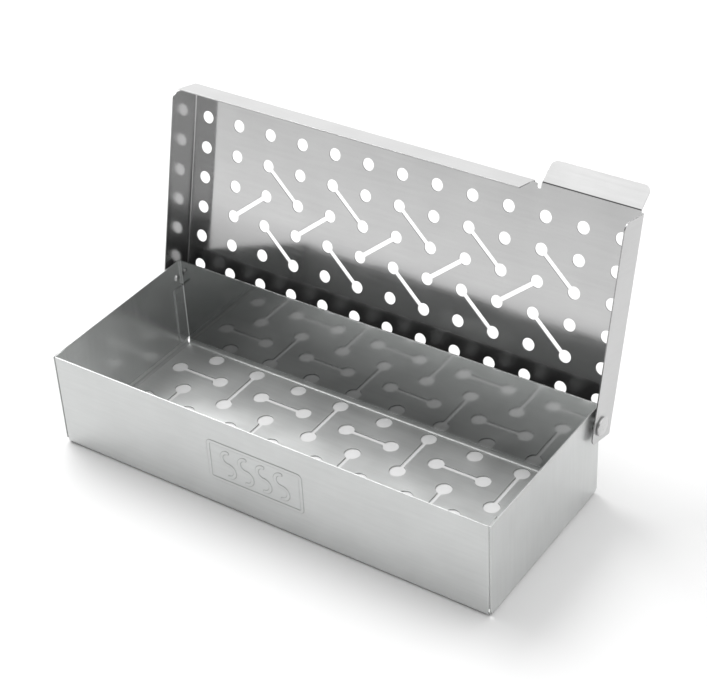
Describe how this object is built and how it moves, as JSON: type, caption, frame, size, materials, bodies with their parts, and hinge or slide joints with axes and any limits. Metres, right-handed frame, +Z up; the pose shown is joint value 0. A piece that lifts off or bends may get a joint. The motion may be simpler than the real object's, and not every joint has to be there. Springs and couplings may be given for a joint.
{
  "type": "smoker box",
  "caption": "Folded stainless-steel tray with a perforated floor and a hinged perforated lid with a bent handle tab, for smoking wood chips.",
  "frame": {"origin": "centre of the tray's underside, on the surface the tray stands on", "axes": "+X along the tray's length, +Y towards the hinge side, +Z up; the lid is at rest fully open"},
  "size_m": [0.3412, 0.1906, 0.1975],
  "materials": {
    "tray_steel": "mill-finished stainless sheet, satin, with soft clear reflections",
    "lid_steel": "mill-finished stainless sheet, satin, with soft clear reflections",
    "rivet_steel": "headed stainless wire, smooth satin",
    "washer_steel": "stamped stainless sheet, satin"
  },
  "bodies": {
    "tray": {"tray": "tray_steel", "hinge_rivet_left": "rivet_steel", "hinge_rivet_right": "rivet_steel", "spacer_washer_left": "washer_steel", "spacer_washer_right": "washer_steel"},
    "lid": {"lid": "lid_steel"}
  },
  "joints": [
    {"name": "lid_hinge", "type": "hinge", "parent": "tray", "child": "lid", "pos_m": [0, 0.0614, 0.0587], "axis": [1, 0, 0], "range_deg": [0, 105.2]}
  ]
}
